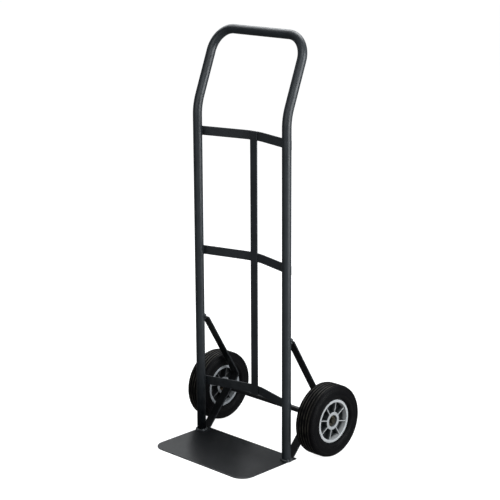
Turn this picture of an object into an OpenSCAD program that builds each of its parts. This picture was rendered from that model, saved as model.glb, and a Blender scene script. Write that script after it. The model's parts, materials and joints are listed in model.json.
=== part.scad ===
// Two-wheeled hand truck: a one-piece tube frame with a looped handle, a flat toe plate,
// three bowed crossbars, a centre strap, two bent axle braces and two solid-tyred wheels
// on a through axle. X runs along the axle, Y towards the wheels and Z up. The origin is
// on the floor, midway between the rails.

/* [Frame tube] */
// Distance between the centres of the two upright rails
rail_spacing = 333; // [300:1:336]
// Outside diameter of the tube
tube_d = 25.4; // [22:0.1:30]
// Wall thickness of the tube
tube_wall = 1.65; // [1.2:0.05:3]
// Height at which the straight rails and the leaning handle would meet
bend_z = 949; // [940:1:1050]
// Angle that the handle leans back from upright
lean_angle = 21.2; // [10:0.1:25]
// Centreline radius of the bend into the handle
bend_r = 150; // [100:5:160]
// Length of the leaning handle, from the bend's corner to the top bar's centreline
handle_length = 219.5; // [180:0.5:260]
// Centreline radius of the two top corners
corner_r = 65; // [45:1:90]

/* [Toe plate] */
// Width of the toe plate
plate_w = 358; // [350:1:400]
// Distance from the rails' centres forward to the front edge
plate_front = 183.5; // [120:0.5:260]
// Distance from the rails' centres back to the rear edge
plate_back = 28.5; // [22:0.5:40]
// Thickness of the plate
plate_t = 3.2; // [2:0.1:6]
// Radius of the two front corners
plate_corner_r = 39; // [5:1:80]

/* [Crossbars and centre strap] */
// Height of a crossbar
bar_h = 25.4; // [18:0.1:32]
// Thickness of the crossbars and the centre strap
bar_t = 3.2; // [2:0.1:5]
// Height of the middle of the lower crossbar
lower_bar_z = 152.7; // [110:0.1:240]
// Height of the middle of the middle crossbar
middle_bar_z = 538; // [400:0.5:700]
// Height of the middle of the upper crossbar
upper_bar_z = 876.5; // [800:0.5:880]
// Angle by which each half of a crossbar runs back from its rail
bar_angle = 14.5; // [5:0.1:18]
// Centreline radius of the round bend in the middle of a crossbar
bar_crown_r = 160; // [60:5:200]
// Length of crossbar past the rail's centre
bar_overhang = 3.6; // [3:0.1:10]
// Width of the centre strap
strap_w = 25.4; // [18:0.1:32]

/* [Axle braces] */
// Width of a brace strap
brace_w = 28; // [18:0.1:29]
// Thickness of a brace strap
brace_t = 4; // [2:0.1:5]
// Distance by which a brace sits inwards of its rail's centre
brace_inset = 3; // [2:0.1:5]
// Height of a brace's top flange
brace_top_z = 342.5; // [300:0.5:400]
// Reach of the top flange behind the rail
brace_reach = 5; // [4.5:0.5:14]
// Angle of the upper leg from upright
brace_angle = 31; // [29:0.5:33]
// Centreline radius of the bend under the top flange
brace_top_bend_r = 9; // [5:0.5:10]
// Centreline radius of the bend behind the axle
brace_low_bend_r = 13; // [8:1:18]
// Distance of a brace's foot behind the rails' centres
brace_foot_y = 13.1; // [12.5:0.1:20]

/* [Axle and wheels] */
// Diameter of the axle
axle_d = 15.88; // [12:0.02:18]
// Distance of the axle behind the rails' centres
axle_y = 116.4; // [112:0.1:122]
// Outside diameter of a wheel
wheel_d = 203.2; // [198:0.2:208]
// Distance from the truck's middle to the middle of a wheel
wheel_x = 212.4; // [212:0.1:220]
// Width of a tyre
tyre_w = 61; // [54:0.5:62]
// Radius of the shoulder between tyre wall and tread
shoulder_r = 10; // [8:1:16]
// Outside diameter of the hub's rim
rim_d = 121.8; // [110:0.2:132]
// Width of the hub across its rim
hub_w = 48.2; // [46:0.1:50]
// Width of the flat rim face, measured along a radius
rim_wall = 7.5; // [5:0.5:14]
// Diameter of the hub's boss
boss_d = 50.6; // [40:0.2:56]
// Diameter of the recess in each end of the boss
recess_d = 33; // [31.5:0.1:36]
// Number of ribs on each side of a hub
ribs = 8; // [5:1:12]
// Thickness of a rib
rib_t = 2.8; // [2:0.1:5]
// Turn of the ribs round the axle, as the wheels stand at rest
rib_turn = 14; // [-45:1:45]

/* [Hidden] */

LEFT = -1;
RIGHT = 1;
paint = [0.14, 0.15, 0.16];
plate_paint = [0.17, 0.175, 0.19];
rubber = [0.06, 0.06, 0.06];
hub_grey = [0.74, 0.76, 0.78];
bronze = [0.62, 0.47, 0.27];
zinc = [0.72, 0.7, 0.62];

round_fn = 96;
small_fn = 48;
arc_step = 2;
cut_margin = 1;
weld_gap = 0.05;

rail_x = rail_spacing / 2;
tube_r = tube_d / 2;
// Length of straight line that the bend takes up on each side of its corner, to the micron
bend_tangent = round(1000 * bend_r * tan(lean_angle / 2)) / 1000;

// A crossbar touches the back of each rail, so its midline runs this far behind the rail.
bar_y_at_rail = (tube_r + bar_t / 2) / cos(bar_angle);
bar_end_x = rail_x + bar_overhang;
bar_end_y = bar_y_at_rail - bar_overhang * tan(bar_angle);
bar_apex_y = bar_y_at_rail + rail_x * tan(bar_angle);
bar_crown_centre_y = bar_apex_y - bar_crown_r / cos(bar_angle);
bar_hollow_r = bar_crown_r - bar_t / 2;
strap_back_y = bar_crown_centre_y + sqrt(bar_hollow_r * bar_hollow_r - strap_w * strap_w / 4) - weld_gap;

axle_r = axle_d / 2;
axle_z = wheel_d / 2;

brace_x = rail_x - brace_inset;
// Share of the tube's radius at which the ends of a brace's coped top lie
cope_share = 0.6;
// The brace's lower leg lies on the axle: its midline passes the axle's centre at this distance.
brace_to_axle = axle_r + brace_t / 2;
foot_to_axle = [axle_y - brace_foot_y, axle_z - plate_t];
leg_angle = atan2(foot_to_axle.x, foot_to_axle.y) - asin(brace_to_axle / norm(foot_to_axle));
brace_corner = [tube_r + brace_reach, brace_top_z];
brace_vertex_z = (brace_corner.x - brace_foot_y + brace_corner.y * tan(brace_angle)
    + plate_t * tan(leg_angle)) / (tan(brace_angle) + tan(leg_angle));
brace_vertex = [brace_foot_y + (brace_vertex_z - plate_t) * tan(leg_angle), brace_vertex_z];
brace_start = [tube_r * cope_share, brace_top_z];
brace_end = [brace_foot_y - plate_t * tan(leg_angle), 0];

// Wheel sizes along its own axis, from its middle outwards
rib_recess = 3;
boss_half = hub_w / 2 - rib_recess;
recess_floor = 12;
web_half = 2.5;
bushing_r = 11;
bushing_inner_z = 0.5;
flange_r = 15;
flange_t = 1.6;
running_gap = 0.05;
side_gap = 0.3;
washer_r = 15.4;
washer_t = 1.6;
washer_z = recess_floor + flange_t + side_gap;
pin_r = 1.5;
pin_to_washer = 0.2;
pin_z = washer_z + washer_t + pin_to_washer + pin_r;
axle_end_z = hub_w / 2;
axle_chamfer = 1.2;
rim_r = rim_d / 2;
bead_bulge = 6;
bead_r = 8;
groove_count = 4;
groove_pitch = 9.5;
groove_w = 2.4;
groove_depth = 2.2;

function unit(v) = v / norm(v);
function turn(v, angle) = [v.x * cos(angle) - v.y * sin(angle), v.x * sin(angle) + v.y * cos(angle)];

// Points of the arc of radius r that rounds the corner at b of the line a, b, c
function rounded_corner(a, b, c, r) =
    let (
        u = unit(a - b),
        v = unit(c - b),
        half = acos(u * v) / 2,
        centre = b + unit(u + v) * r / sin(half),
        first = b + u * r / tan(half) - centre,
        sweep = sign(cross(-u, v)) * (180 - 2 * half),
        steps = ceil(abs(sweep) / arc_step)
    )
    [for (i = [0:steps]) centre + turn(first, sweep * i / steps)];

// A line through corners, each inner one rounded to the same place in radii
function rounded_path(corners, radii) = [
    corners[0],
    for (i = [1:len(corners) - 2])
        each rounded_corner(corners[i - 1], corners[i], corners[i + 1], radii[i - 1]),
    corners[len(corners) - 1]
];

// The line at a distance to the left of a path, with mitred corners
function beside(path, distance) = [
    for (i = [0:len(path) - 1])
        let (
            before = unit(path[max(i, 1)] - path[max(i, 1) - 1]),
            after = unit(path[min(i, len(path) - 2) + 1] - path[min(i, len(path) - 2)]),
            normal = unit([-(before + after).y, (before + after).x])
        )
        path[i] + normal * distance / (normal * [-before.y, before.x])
];

function reversed(list) = [for (i = [len(list) - 1:-1:0]) list[i]];

module strip_outline(path, thickness) {
    polygon(concat(beside(path, thickness / 2), reversed(beside(path, -thickness / 2))));
}

// Moves a wheel's part, drawn along +Z with its outer face up, to its place on the axle.
module at_wheel(side) {
    translate([side * wheel_x, axle_y, axle_z]) rotate([0, side * 90, 0]) children();
}

module ring(outer_r, inner_r, height) {
    difference() {
        cylinder(r = outer_r, h = height, $fn = round_fn);
        translate([0, 0, -cut_margin])
            cylinder(r = inner_r, h = height + 2 * cut_margin, $fn = round_fn);
    }
}

// The tube's section, a ring
module tube_section() {
    difference() {
        circle(r = tube_r, $fn = round_fn);
        circle(r = tube_r - tube_wall, $fn = round_fn);
    }
}

module straight_tube(length) {
    linear_extrude(height = length) tube_section();
}

// Tube bent about the Z axis, from the X axis anticlockwise
module bent_tube(r, angle) {
    rotate_extrude(angle = angle, $fn = round_fn) translate([r, 0]) tube_section();
}

// One side of the tube: rail, bend, leaning leg and top corner
module half_frame() {
    bend_start_z = bend_z - bend_tangent;
    translate([rail_x, 0, plate_t]) straight_tube(bend_start_z - plate_t);
    translate([rail_x, bend_r, bend_start_z]) rotate([90, 0, -90]) bent_tube(bend_r, lean_angle);
    translate([rail_x, 0, bend_z]) rotate([-lean_angle, 0, 0]) {
        translate([0, 0, bend_tangent]) straight_tube(handle_length - bend_tangent - corner_r);
        translate([-corner_r, 0, handle_length - corner_r]) rotate([90, 0, 0])
            bent_tube(corner_r, 90);
    }
}

module frame_tube() {
    color(paint) {
        half_frame();
        mirror([1, 0, 0]) half_frame();
        translate([0, 0, bend_z]) rotate([-lean_angle, 0, 0])
            translate([corner_r - rail_x, 0, handle_length]) rotate([0, 90, 0])
                straight_tube(rail_spacing - 2 * corner_r);
    }
}

module toe_plate() {
    color(plate_paint) union() {
        translate([-plate_w / 2, plate_corner_r - plate_front, 0])
            cube([plate_w, plate_front + plate_back - plate_corner_r, plate_t]);
        translate([plate_corner_r - plate_w / 2, -plate_front, 0])
            cube([plate_w - 2 * plate_corner_r, plate_corner_r, plate_t]);
        for (side = [LEFT, RIGHT])
            translate([side * (plate_w / 2 - plate_corner_r), plate_corner_r - plate_front, 0])
                cylinder(r = plate_corner_r, h = plate_t, $fn = round_fn);
    }
}

module crossbar(z) {
    corners = [[-bar_end_x, bar_end_y], [0, bar_apex_y], [bar_end_x, bar_end_y]];
    color(paint) translate([0, 0, z - bar_h / 2]) linear_extrude(height = bar_h)
        strip_outline(rounded_path(corners, [bar_crown_r]), bar_t);
}

module centre_strap() {
    bottom_z = lower_bar_z - bar_h / 2;
    top_z = upper_bar_z + bar_h / 2;
    color(paint) translate([-strap_w / 2, strap_back_y - bar_t, bottom_z])
        cube([strap_w, bar_t, top_z - bottom_z]);
}

// A strap bent from the back of the rail down to the axle and forward to the toe plate,
// coped round the rail at its top and cut flat on the plate at its foot
module axle_brace(side) {
    corners = [brace_start, brace_corner, brace_vertex, brace_end];
    color(paint) difference() {
        translate([side * brace_x - brace_w / 2, 0, 0]) rotate([90, 0, 90])
            linear_extrude(height = brace_w)
                strip_outline(rounded_path(corners, [brace_top_bend_r, brace_low_bend_r]), brace_t);
        translate([side * rail_x, 0, plate_t])
            cylinder(r = tube_r, h = brace_top_z, $fn = round_fn);
        translate([side * brace_x - brace_w, 0, plate_t - brace_w])
            cube([2 * brace_w, 2 * brace_w, brace_w]);
    }
}

module axle() {
    half_length = wheel_x + axle_end_z;
    color(paint) difference() {
        translate([0, axle_y, axle_z]) rotate([0, 90, 0]) rotate_extrude($fn = round_fn)
            polygon([
                [0, -half_length],
                [axle_r - axle_chamfer, -half_length],
                [axle_r, axle_chamfer - half_length],
                [axle_r, half_length - axle_chamfer],
                [axle_r - axle_chamfer, half_length],
                [0, half_length]
            ]);
        for (side = [LEFT, RIGHT])
            at_wheel(side) translate([0, axle_r + cut_margin, pin_z]) rotate([90, 0, 0])
                cylinder(r = pin_r + running_gap, h = 2 * (axle_r + cut_margin), $fn = small_fn);
    }
}

// Tube on the axle that holds the wheel off the brace
module axle_spacer(side) {
    length = wheel_x - washer_z - brace_x - brace_w / 2;
    color(zinc) at_wheel(side) translate([0, 0, -washer_z - length])
        ring(bushing_r, axle_r, length);
}

module axle_washer(side) {
    color(zinc) at_wheel(side) translate([0, 0, washer_z])
        ring(washer_r, axle_r, washer_t);
}

// Split pin through the axle: an eye at one side and two legs bent apart at the other
module cotter_pin(side) {
    eye_r = 1.6;
    eye_wire_r = 0.8;
    eye_rise = 2.6;
    leg_r = 0.75;
    leg_drop = 0.9;
    leg_length = 5.5;
    eye_y = axle_r + eye_rise;
    leg_y = axle_r + leg_drop;
    color(zinc) at_wheel(side) translate([0, 0, pin_z]) {
        translate([0, eye_y - eye_r, 0]) rotate([90, 0, 0])
            cylinder(r = pin_r, h = eye_y - eye_r + leg_y, $fn = small_fn);
        translate([0, eye_y, 0]) rotate_extrude($fn = small_fn)
            translate([eye_r, 0]) circle(r = eye_wire_r, $fn = small_fn);
        translate([0, -leg_y, 0]) rotate([0, 90, 0])
            cylinder(r = leg_r, h = 2 * leg_length, center = true, $fn = small_fn);
    }
}

// One moulding: rim, boss, closed middle web and ribs on both sides of the web
module hub(side) {
    color(hub_grey) at_wheel(side) difference() {
        union() {
            translate([0, 0, -hub_w / 2]) ring(rim_r, rim_r - rim_wall, hub_w);
            translate([0, 0, -web_half])
                cylinder(r = rim_r - rim_wall / 2, h = 2 * web_half, $fn = round_fn);
            translate([0, 0, -boss_half])
                cylinder(d = boss_d, h = 2 * boss_half, $fn = round_fn);
            for (i = [0:ribs - 1])
                rotate([0, 0, 360 * i / ribs - side * rib_turn])
                    translate([boss_d / 2 - rib_t, -rib_t / 2, -boss_half])
                        cube([rim_r - rim_wall / 2 - boss_d / 2 + rib_t, rib_t, 2 * boss_half]);
        }
        translate([0, 0, -hub_w]) cylinder(r = bushing_r, h = 2 * hub_w, $fn = round_fn);
        for (end = [0, 1])
            mirror([0, 0, end]) translate([0, 0, recess_floor])
                cylinder(d = recess_d, h = hub_w, $fn = round_fn);
    }
}

// Solid rubber tyre with a rounded section and grooves round its tread
module tyre(side) {
    wall_half = tyre_w / 2;
    corners = [
        [rim_r, -hub_w / 2],
        [rim_r + bead_bulge, -wall_half],
        [axle_z, -wall_half],
        [axle_z, wall_half],
        [rim_r + bead_bulge, wall_half],
        [rim_r, hub_w / 2]
    ];
    color(rubber) at_wheel(side) rotate_extrude($fn = round_fn) difference() {
        polygon(rounded_path(corners, [bead_r, shoulder_r, shoulder_r, bead_r]));
        for (i = [0:groove_count - 1])
            translate([axle_z - groove_depth, (i - (groove_count - 1) / 2) * groove_pitch - groove_w / 2])
                square([2 * groove_depth, groove_w]);
    }
}

// Flanged bushing pressed into one end of the hub's bore
module bushing(side, end) {
    color(bronze) at_wheel(side) mirror([0, 0, end == LEFT ? 1 : 0]) {
        translate([0, 0, bushing_inner_z])
            ring(bushing_r, axle_r + running_gap, recess_floor - bushing_inner_z);
        translate([0, 0, recess_floor]) ring(flange_r, axle_r + running_gap, flange_t);
    }
}

frame_tube();
toe_plate();
crossbar(lower_bar_z);  // lower_crossbar
crossbar(middle_bar_z);  // middle_crossbar
crossbar(upper_bar_z);  // upper_crossbar
centre_strap();
axle_brace(LEFT);  // axle_brace_left
axle_brace(RIGHT);  // axle_brace_right
axle();
axle_spacer(LEFT);  // axle_spacer_left
axle_spacer(RIGHT);  // axle_spacer_right
axle_washer(LEFT);  // axle_washer_left
axle_washer(RIGHT);  // axle_washer_right
cotter_pin(LEFT);  // cotter_pin_left
cotter_pin(RIGHT);  // cotter_pin_right
hub(LEFT);  // hub_left
hub(RIGHT);  // hub_right
tyre(LEFT);  // tyre_left
tyre(RIGHT);  // tyre_right
bushing(LEFT, LEFT);  // inner_bushing_left
bushing(RIGHT, LEFT);  // inner_bushing_right
bushing(LEFT, RIGHT);  // outer_bushing_left
bushing(RIGHT, RIGHT);  // outer_bushing_right
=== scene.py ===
"""The looks of a two-wheeled hand truck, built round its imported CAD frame.

Units are metres in the CAD frame: X along the axle, Y back towards the wheels, Z up.
"""

import json
import math

import bmesh
import bpy
from mathutils import Matrix, Vector, noise


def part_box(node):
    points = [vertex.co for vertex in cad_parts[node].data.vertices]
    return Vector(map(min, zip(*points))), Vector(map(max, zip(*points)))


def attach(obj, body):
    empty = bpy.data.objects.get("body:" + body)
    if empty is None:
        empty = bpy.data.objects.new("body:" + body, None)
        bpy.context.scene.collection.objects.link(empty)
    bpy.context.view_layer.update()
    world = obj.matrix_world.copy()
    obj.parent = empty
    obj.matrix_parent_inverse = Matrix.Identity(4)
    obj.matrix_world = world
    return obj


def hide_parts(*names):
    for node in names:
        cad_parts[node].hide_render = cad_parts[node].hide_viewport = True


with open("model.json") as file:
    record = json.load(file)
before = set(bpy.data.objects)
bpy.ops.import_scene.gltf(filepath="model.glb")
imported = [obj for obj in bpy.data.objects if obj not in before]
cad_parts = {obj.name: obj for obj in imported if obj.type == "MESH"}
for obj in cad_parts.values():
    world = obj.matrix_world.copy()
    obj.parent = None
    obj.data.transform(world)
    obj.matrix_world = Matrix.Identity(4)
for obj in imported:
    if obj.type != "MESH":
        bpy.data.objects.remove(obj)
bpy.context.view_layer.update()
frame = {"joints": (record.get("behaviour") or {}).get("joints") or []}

MM = 0.001
SIDES = {"left": -1, "right": 1}
LEVELS = ("lower", "middle", "upper")
X_AXIS = Vector((1, 0, 0))
Y_AXIS = Vector((0, 1, 0))
Z_AXIS = Vector((0, 0, 1))

# ---- sizes and places

TUBE_R = 12.7 * MM
TUBE_WALL = 1.65 * MM
LEAN = math.radians(21.2)
LEAN_BEND_R = 150 * MM
HANDLE_CORNER_R = 65 * MM
BAR_T = 3.2 * MM
BAR_ANGLE = math.radians(14.5)
BAR_CROWN_R = 160 * MM
BAR_EDGE_R = 0.7 * MM
PLATE_CORNER_R = 39 * MM
BRACE_ANGLE = math.radians(31)
BRACE_T = 4 * MM
BRACE_REACH = 5 * MM
BRACE_FOOT_Y = 13.1 * MM
BRACE_TOP_BEND_R = 9 * MM
BRACE_LOW_BEND_R = 13 * MM
AXLE_R = 7.94 * MM

tube_low, tube_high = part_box("frame_tube")
RAIL_X = tube_high.x - TUBE_R
HANDLE_TOP = Vector((0, tube_high.y - TUBE_R, tube_high.z - TUBE_R))
BEND_Z = HANDLE_TOP.z - HANDLE_TOP.y / math.tan(LEAN)
PLATE_LOW, PLATE_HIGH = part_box("toe_plate")
PLATE_TOP = PLATE_HIGH.z
JOINTS = {joint["child"]: Vector(joint["pos_m"]) for joint in frame["joints"]}
AXLE_Y = JOINTS["wheel_right"].y
AXLE_Z = JOINTS["wheel_right"].z


# ---- mesh tools


def rounded_path(corners, radii, step=math.radians(3)):
    """A line through corners, each inner one rounded to the radius in the same place."""
    corners = [Vector(c) for c in corners]
    path = [corners[0]]
    for before, corner, after, radius in zip(corners, corners[1:], corners[2:], radii):
        u = (before - corner).normalized()
        v = (after - corner).normalized()
        half = u.angle(v) / 2
        centre = corner + (u + v).normalized() * radius / math.sin(half)
        first = corner + u * radius / math.tan(half) - centre
        sweep = math.pi - 2 * half
        axis = (-u).cross(v).normalized()
        count = max(2, math.ceil(sweep / step))
        for i in range(count + 1):
            path.append(centre + Matrix.Rotation(sweep * i / count, 3, axis) @ first)
    path.append(corners[-1])
    return path


def tangents(path, closed=False):
    """The direction of travel at each point of a path."""
    last = len(path) - 1
    result = []
    for i, point in enumerate(path):
        before = path[i - 1] if i > 0 or closed else point
        after = path[(i + 1) % len(path)] if i < last or closed else point
        ways = [d.normalized() for d in (point - before, after - point) if d.length > 1e-9]
        result.append(sum(ways, Vector()).normalized())
    return result


def carried_normals(path, first):
    """Normals along a path that turn no more than the path itself does."""
    ways = tangents(path)
    normal = (first - ways[0] * first.dot(ways[0])).normalized()
    result = [normal]
    for before, after in zip(ways, ways[1:]):
        normal = before.rotation_difference(after) @ normal
        normal = (normal - after * normal.dot(after)).normalized()
        result.append(normal)
    return result


def circle(radius, count):
    """Points of a circle as (across, up) pairs."""
    turns = [2 * math.pi * i / count for i in range(count)]
    return [(radius * math.cos(t), radius * math.sin(t)) for t in turns]


CORNER_STEPS = 3
EDGE_SUPPORT = 0.5 * MM
RUB_REACH = 1.1 * MM
SHARP_ANGLE = math.radians(38)
# The rings of a soft end, as (inset, depth) times END_EASE.
END_EASE = 0.5 * MM
END_STEPS = ((3, 0), (1, 0), (0.3, 0.3), (0, 1))


def rounded_rectangle(width, height, radius, across_steps=0):
    """A rectangle with round corners, and a point close to each corner on every flat.
    Its long flats may be cut into across_steps parts."""
    points = []
    for quarter, (sx, sy) in enumerate(((1, 1), (-1, 1), (-1, -1), (1, -1))):
        cx, cy = sx * (width / 2 - radius), sy * (height / 2 - radius)
        arc = [math.pi / 2 * (quarter + i / CORNER_STEPS) for i in range(CORNER_STEPS + 1)]
        round_part = [(cx + radius * math.cos(t), cy + radius * math.sin(t)) for t in arc]
        along = [(-math.sin(arc[0]), math.cos(arc[0])), (-math.sin(arc[-1]), math.cos(arc[-1]))]
        first, final = round_part[0], round_part[-1]
        points.append((first[0] - EDGE_SUPPORT * along[0][0], first[1] - EDGE_SUPPORT * along[0][1]))
        points += round_part
        points.append((final[0] + EDGE_SUPPORT * along[1][0], final[1] + EDGE_SUPPORT * along[1][1]))
        if quarter % 2 == 0:
            reach = width / 2 - radius - EDGE_SUPPORT
            for i in range(1, across_steps):
                points.append((sx * reach * (1 - 2 * i / across_steps), final[1]))
    return points


def inset_ring(ring, centre, way, inset, depth):
    """A ring moved towards its centre by inset and forward along way by depth."""
    moved = []
    for point in ring:
        inward = centre - point
        inward -= way * inward.dot(way)
        moved.append(point + inward.normalized() * min(inset, inward.length * 0.9) + way * depth)
    return moved


def add_object(name, data):
    """A new object in the scene."""
    made = bpy.data.objects.new(name, data)
    bpy.context.scene.collection.objects.link(made)
    return made


class Mesh:
    """A mesh in the making, with a number for each point: how worn and stained it is on most pieces,
    its painted shade on the hubs and its painted highlight on the tyres.
    """

    def __init__(self):
        self.points = []
        self.faces = []
        self.wear_and_painted_light = []

    def ring(self, points, wear_and_painted_light):
        start = len(self.points)
        self.points += [Vector(p) for p in points]
        self.wear_and_painted_light += wear_and_painted_light if isinstance(wear_and_painted_light, list) else [wear_and_painted_light] * len(points)
        return list(range(start, start + len(points)))

    def bridge(self, a, b):
        """Joins two rings of the same count with quads."""
        for i in range(len(a)):
            j = (i + 1) % len(a)
            self.faces.append((a[i], a[j], b[j], b[i]))

    def skin(self, rings, loop=False, wear_and_painted_light=None):
        """Quads over a row of rings, which may loop back to the first."""
        made = [self.ring(r, wear_and_painted_light[i] if wear_and_painted_light else 0.0) for i, r in enumerate(rings)]
        for a, b in zip(made, made[1:]):
            self.bridge(a, b)
        if loop:
            self.bridge(made[-1], made[0])
        return made

    def close(self, made):
        """Caps both ends of a skin."""
        for ring in (made[0], made[-1]):
            self.faces.append(tuple(ring))

    def piece(self, name, body, material, replaced=()):
        """Makes the Blender object, facing outwards, and ties it to the frame."""
        data = bpy.data.meshes.new(name)
        data.from_pydata([tuple(p) for p in self.points], [], self.faces)
        # Per point: how worn and stained, painted shade on the hubs, painted highlight on the tyres.
        attribute = data.attributes.new("wear_and_painted_light", "FLOAT", "POINT")
        attribute.data.foreach_set("value", self.wear_and_painted_light)
        work = bmesh.new()
        work.from_mesh(data)
        bmesh.ops.remove_doubles(work, verts=work.verts, dist=1e-7)
        bmesh.ops.recalc_face_normals(work, faces=work.faces)
        for face in work.faces:
            face.smooth = True
        for edge in work.edges:
            if len(edge.link_faces) == 2 and edge.calc_face_angle(0) > SHARP_ANGLE:
                edge.smooth = False
        work.to_mesh(data)
        work.free()
        data.materials.append(material)
        made = add_object(name, data)
        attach(made, body)
        if replaced:
            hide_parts(*replaced)


def swept_rings(path, section, width_axis=None, first_normal=None):
    """Rings of a section carried along a path. The section's first number runs along
    width_axis, or along a normal that starts as first_normal."""
    ways = tangents(path)
    carried = None if width_axis is not None else carried_normals(path, first_normal)
    rings = []
    for i, point in enumerate(path):
        across = width_axis if carried is None else carried[i]
        up = ways[i].cross(across).normalized()
        rings.append([point + across * a + up * b for a, b in section])
    return rings


def corner_wear(section, width, height):
    """How much each point of a flat bar's section is rubbed: most at its corners."""
    rubbed = []
    for across, up in section:
        away = math.hypot(width / 2 - abs(across), height / 2 - abs(up))
        rubbed.append(max(0.0, 1 - away / RUB_REACH))
    return rubbed


def eased_ends(rings, path):
    """Adds a bevel and a flat end to each end of swept rings."""
    ends = []
    for ring, point, beyond in ((rings[0], path[0], path[1]), (rings[-1], path[-1], path[-2])):
        way = (beyond - point).normalized()
        ends.append([
            inset_ring(ring, point, way, inset * END_EASE, depth * END_EASE)
            for inset, depth in END_STEPS
        ])
    return ends[0] + rings[1:-1] + ends[1][::-1]


def strip(mesh, path, width, thickness, width_axis):
    """A flat bar with soft edges along a path."""
    section = rounded_rectangle(width, thickness, BAR_EDGE_R)
    rings = swept_rings(path, section, width_axis=width_axis)
    rings = eased_ends(rings, path)
    made = mesh.skin(rings, wear_and_painted_light=[corner_wear(section, width, thickness)] * len(rings))
    mesh.close(made)


# ---- materials


class Shader:
    """A principled material, with short calls for the nodes that feed it."""

    def __init__(self, name, roughness, metallic=0.0, specular=0.5):
        self.material = bpy.data.materials.new(name)
        self.material.use_nodes = True
        self.tree = self.material.node_tree
        self.bsdf = self.tree.nodes["Principled BSDF"]
        self.bsdf.inputs["Roughness"].default_value = roughness
        self.bsdf.inputs["Metallic"].default_value = metallic
        self.bsdf.inputs["Specular IOR Level"].default_value = specular
        self.place = self.add("ShaderNodeTexCoord").outputs["Object"]
        self.bumped = None

    def add(self, kind, **inputs):
        made = self.tree.nodes.new(kind)
        for name, value in inputs.items():
            self.feed(made.inputs[name], value)
        return made

    def feed(self, socket, value):
        if isinstance(value, bpy.types.NodeSocket):
            self.tree.links.new(value, socket)
        else:
            socket.default_value = value

    def noise(self, size, detail, roughness=0.55, stretch=None):
        """Noise whose blobs are about size metres across."""
        place = self.place
        if stretch:
            made = self.add("ShaderNodeMapping", Vector=place, Scale=stretch)
            place = made.outputs["Vector"]
        made = self.add(
            "ShaderNodeTexNoise", Vector=place, Scale=1 / size, Detail=detail, Roughness=roughness
        )
        return made.outputs["Fac"]

    def specks(self, size):
        """Distance to the nearest of many scattered points, for pits and grain."""
        made = self.add("ShaderNodeTexVoronoi", Vector=self.place, Scale=1 / size)
        return made.outputs["Distance"]

    def span(self, value, low, high, to_low=0.0, to_high=1.0):
        """Maps low..high to to_low..to_high, clamped and eased."""
        made = self.tree.nodes.new("ShaderNodeMapRange")
        made.interpolation_type = "SMOOTHSTEP"
        sockets = (value, low, high, to_low, to_high)
        for socket, number in zip(made.inputs, sockets):
            self.feed(socket, number)
        return made.outputs["Result"]

    def math(self, operation, a, b=0.0):
        made = self.tree.nodes.new("ShaderNodeMath")
        made.operation = operation
        self.feed(made.inputs[0], a)
        self.feed(made.inputs[1], b)
        return made.outputs["Value"]

    def mix(self, factor, a, b):
        """Colour a where factor is 0 and b where it is 1."""
        made = self.tree.nodes.new("ShaderNodeMix")
        made.data_type = "RGBA"
        for name, value in (("Factor", factor), ("A", a), ("B", b)):
            socket = [s for s in made.inputs if s.name == name and s.enabled][0]
            if isinstance(value, tuple):
                value = (*value, 1.0)
            self.feed(socket, value)
        return [s for s in made.outputs if s.enabled][0]

    def attribute(self, name):
        made = self.add("ShaderNodeAttribute")
        made.attribute_name = name
        return made.outputs["Fac"]

    def upward(self):
        """How far the surface faces up, from -1 to 1."""
        normal = self.add("ShaderNodeNewGeometry").outputs["Normal"]
        return self.add("ShaderNodeSeparateXYZ", Vector=normal).outputs["Z"]

    def bump(self, height, depth, strength):
        """Adds relief of about depth metres."""
        made = self.add("ShaderNodeBump", Strength=strength, Distance=depth, Height=height)
        if self.bumped is not None:
            self.feed(made.inputs["Normal"], self.bumped)
        self.bumped = made.outputs["Normal"]
        self.feed(self.bsdf.inputs["Normal"], self.bumped)

    def colour(self, value):
        self.feed(self.bsdf.inputs["Base Color"], value)

    def rough(self, value):
        self.feed(self.bsdf.inputs["Roughness"], value)


DUST = (0.16, 0.155, 0.15)
# Near-black paint for painted shade at the frame's feet, where it is also a little dirty, and its
# reach.
FOOT_DIRT_AND_SHADE = (0.0015, 0.0015, 0.0018)
DIRT_AND_SHADE_HEIGHT = 300 * MM
RUBBER_TONES = ((0.0016, 0.0015, 0.0020), (0.0032, 0.0031, 0.0037))
RUBBER_WORN_AND_HIGHLIT = (0.056, 0.051, 0.041)
RUBBER_SPECKS = (0.03, 0.029, 0.027)
HUB_TONES = ((0.390, 0.402, 0.410), (0.455, 0.462, 0.468))
# The inner-face colour and the colours for the pockets below are painted shade on the grey.
HUB_INNER_FACE_SHADED = (0.29, 0.305, 0.32)
HUB_POCKET_SHADE = (0.0075, 0.0100, 0.0120)
HUB_INNER_POCKET_SHADE = (0.0030, 0.0036, 0.0044)
HUB_SPOTS = (0.12, 0.125, 0.13)
AXLE_PAINT = (0.0095, 0.0100, 0.0108)
STEEL_TONES = ((0.070, 0.062, 0.046), (0.014, 0.012, 0.008))
FLOOR_TONES = ((0.34, 0.34, 0.34), (0.36, 0.36, 0.36))


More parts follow.
